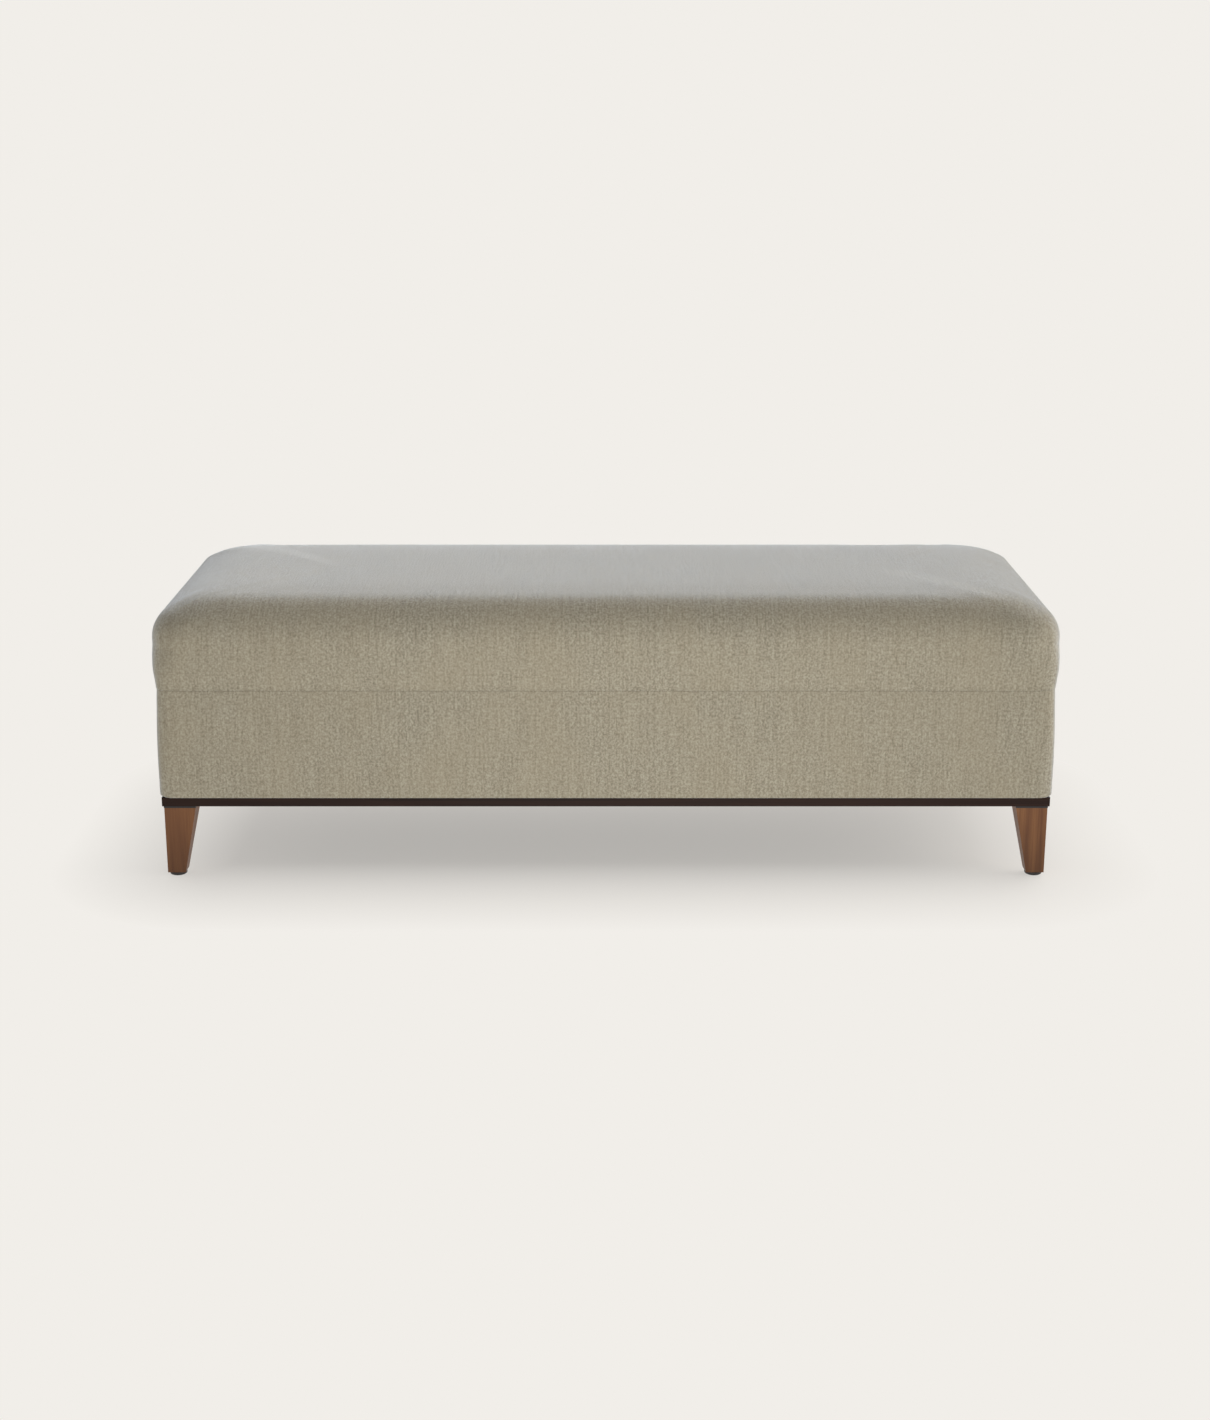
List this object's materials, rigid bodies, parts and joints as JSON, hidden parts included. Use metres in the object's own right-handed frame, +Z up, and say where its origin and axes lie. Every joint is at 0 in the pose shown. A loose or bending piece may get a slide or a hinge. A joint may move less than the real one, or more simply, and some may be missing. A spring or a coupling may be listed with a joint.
{
  "type": "storage ottoman",
  "caption": "Long upholstered bench ottoman with a crowned, hinged lid over a lined storage box, on a dark plinth with tapered wooden legs.",
  "frame": {"origin": "on the floor below the middle of the ottoman", "axes": "+X along the length to the right seen from the front, +Y towards the back where the lid is hinged, +Z up"},
  "size_m": [1.45, 0.55, 0.4565],
  "materials": {
    "upholstery": "matt woven greige fabric with fine vertical slubs and a soft sheen",
    "wadding": "white polyester wadding",
    "foam": "cream upholstery foam",
    "lining": "plain dark grey-brown lining cloth",
    "dust_cloth": "thin black non-woven cloth",
    "plywood": "bare birch plywood",
    "leg_wood": "satin mid-brown walnut stain",
    "plinth_wood": "satin dark espresso stain",
    "hinge_steel": "plated steel",
    "fixings": "zinc-plated steel",
    "black_steel": "satin black paint",
    "strut_rod": "polished chrome",
    "glide_nylon": "dark brown nylon",
    "bumper_rubber": "soft dark rubber"
  },
  "bodies": {
    "base": {"base_cover": "upholstery", "base_pad_front": "wadding", "base_pad_back": "wadding", "base_pad_left": "wadding", "base_pad_right": "wadding", "storage_lining": "lining", "dust_cover": "dust_cloth", "front_panel": "plywood", "back_panel": "plywood", "left_panel": "plywood", "right_panel": "plywood", "bottom_panel": "plywood", "leg_front_left": "leg_wood", "leg_front_right": "leg_wood", "leg_back_left": "leg_wood", "leg_back_right": "leg_wood", "plinth_front": "plinth_wood", "plinth_back": "plinth_wood", "plinth_left": "plinth_wood", "plinth_right": "plinth_wood", "hinge_base_leaf": "hinge_steel", "leg_bolt_front_left": "fixings", "leg_bolt_front_right": "fixings", "leg_bolt_back_left": "fixings", "leg_bolt_back_right": "fixings", "strut_foot_bracket_left": "fixings", "strut_foot_bracket_right": "fixings", "leg_plate_front_left": "black_steel", "leg_plate_front_right": "black_steel", "leg_plate_back_left": "black_steel", "leg_plate_back_right": "black_steel", "glide_front_left": "glide_nylon", "glide_front_right": "glide_nylon", "glide_back_left": "glide_nylon", "glide_back_right": "glide_nylon", "bumper_front_left": "bumper_rubber", "bumper_front_right": "bumper_rubber", "bumper_back_left": "bumper_rubber", "bumper_back_right": "bumper_rubber"},
    "lid": {"lid_cover": "upholstery", "lid_foam": "foam", "lid_deck": "plywood", "lid_lining": "lining", "hinge_lid_leaf": "hinge_steel", "hinge_pin": "hinge_steel", "strut_head_bracket_left": "fixings", "strut_head_bracket_right": "fixings", "lid_rail_front": "plywood", "lid_rail_back": "plywood", "lid_rail_left": "plywood", "lid_rail_right": "plywood", "lid_pad_front": "wadding", "lid_pad_back": "wadding", "lid_pad_left": "wadding", "lid_pad_right": "wadding"},
    "left_strut_tube": {"strut_cylinder_left": "black_steel"},
    "left_strut_rod": {"strut_rod_left": "strut_rod"},
    "right_strut_tube": {"strut_cylinder_right": "black_steel"},
    "right_strut_rod": {"strut_rod_right": "strut_rod"}
  },
  "joints": [
    {"name": "lid_hinge", "type": "hinge", "parent": "base", "child": "lid", "pos_m": [0, 0.2685, 0.314], "axis": [-1, 0, 0], "range_deg": [0, 80]},
    {"name": "left_strut_foot", "type": "hinge", "parent": "base", "child": "left_strut_tube", "pos_m": [-0.675, 0.1185, 0.196], "axis": [-1, 0, 0], "range_deg": [0, 16.2]},
    {"name": "left_strut_slide", "type": "slide", "parent": "left_strut_tube", "child": "left_strut_rod", "axis": [0, 0.4288, 0.9034], "range_m": [0, 0.0909]},
    {"name": "right_strut_foot", "type": "hinge", "parent": "base", "child": "right_strut_tube", "pos_m": [0.675, 0.1185, 0.196], "axis": [-1, 0, 0], "range_deg": [0, 16.2]},
    {"name": "right_strut_slide", "type": "slide", "parent": "right_strut_tube", "child": "right_strut_rod", "axis": [0, 0.4288, 0.9034], "range_m": [0, 0.0909]}
  ],
  "couplings": [
    {"joint": "left_strut_foot", "follows": "lid_hinge", "ratio": 0.20231},
    {"joint": "left_strut_slide", "follows": "lid_hinge", "m_per_rad": 0.065078},
    {"joint": "right_strut_foot", "follows": "lid_hinge", "ratio": 0.20231},
    {"joint": "right_strut_slide", "follows": "lid_hinge", "m_per_rad": 0.065078}
  ]
}
